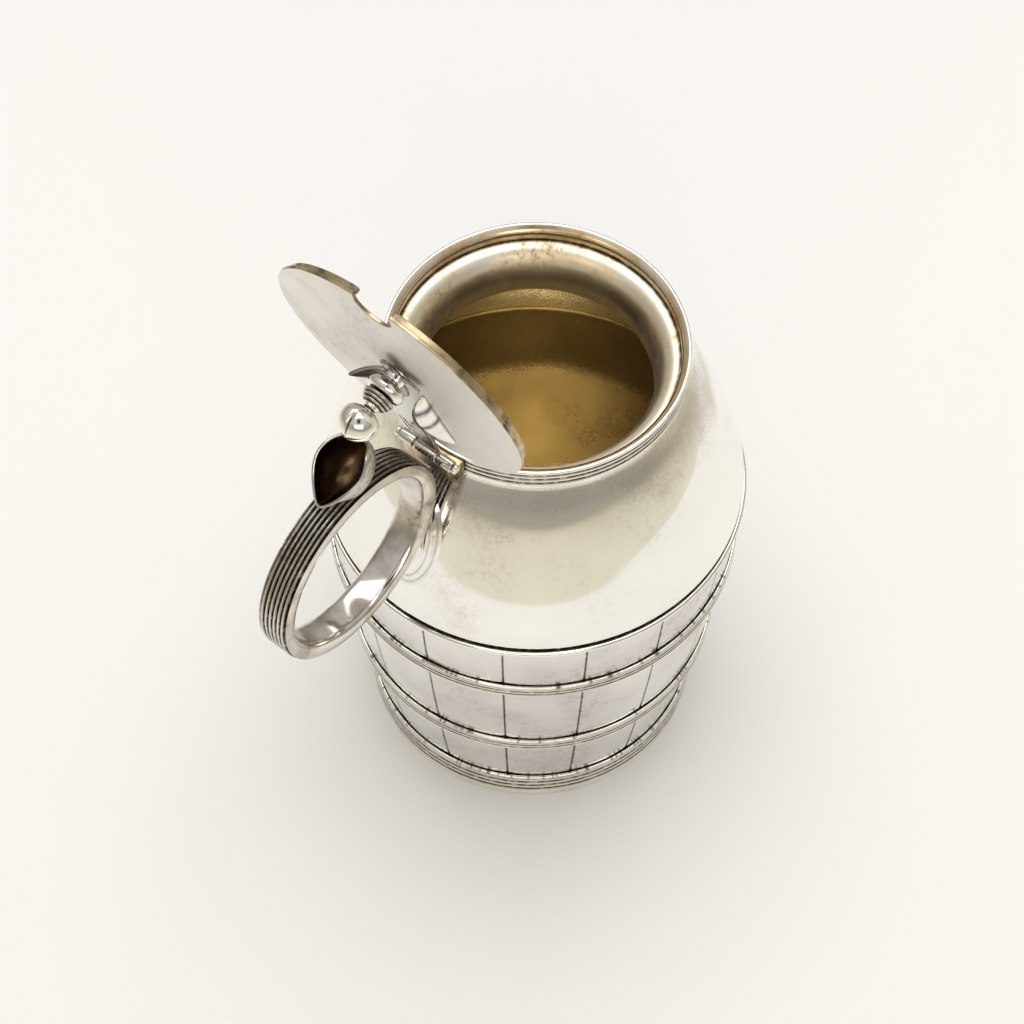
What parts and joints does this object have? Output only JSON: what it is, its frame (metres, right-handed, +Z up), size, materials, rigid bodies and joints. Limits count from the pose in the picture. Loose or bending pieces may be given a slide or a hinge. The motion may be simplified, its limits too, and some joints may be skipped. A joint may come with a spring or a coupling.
{
  "type": "mustard pot",
  "caption": "Barrel-shaped silver mustard pot with a hinged flat lid, bud finial, spoon notch and reeded ring handle.",
  "frame": {"origin": "centre of the flat underside of the base disc, on the surface the pot stands on", "axes": "+Z up along the pot's axis; the hinge and the ring handle are towards -X; the hinge axis is parallel to Y"},
  "size_m": [0.1001, 0.0724, 0.1491],
  "materials": {
    "silver": "polished silver with light tarnish",
    "reeded_silver": "polished silver with dark tarnish in its grooves",
    "lid_silver": "worn satin silver",
    "gilt": "worn gilding over silver"
  },
  "bodies": {
    "pot": {"base_disc": "gilt", "foot_flange": "silver", "foot_hoop": "reeded_silver", "barrel_wall": "silver", "hoop_lower": "reeded_silver", "hoop_upper": "reeded_silver", "shoulder_wire": "silver", "shoulder_dome": "silver", "lip_collar": "reeded_silver", "mouth_funnel": "gilt", "hinge_bracket": "silver", "hinge_knuckle_left": "silver", "hinge_knuckle_right": "silver", "hinge_pin": "silver", "pin_cap_left": "silver", "pin_cap_right": "silver", "ring_handle": "reeded_silver", "handle_pad_step": "silver", "handle_pad": "silver", "thumb_rest": "reeded_silver", "thumb_rest_foot": "reeded_silver"},
    "lid": {"lid_plate": "lid_silver", "lid_bezel": "gilt", "lid_strap": "lid_silver", "lid_knuckle": "silver", "calyx_leaf_notch": "silver", "calyx_leaf_right": "silver", "calyx_leaf_hinge": "silver", "calyx_leaf_left": "silver", "finial_foot": "silver", "finial_knop": "silver", "finial_reeds": "silver", "finial_neck": "silver", "finial_bud": "silver", "thumb_lift": "silver", "finial_nut": "gilt"}
  },
  "joints": [
    {"name": "lid_hinge", "type": "hinge", "parent": "pot", "child": "lid", "pos_m": [-0.027, 0, 0.1008], "axis": [0, 1, 0], "range_deg": [0, 103.7]}
  ]
}
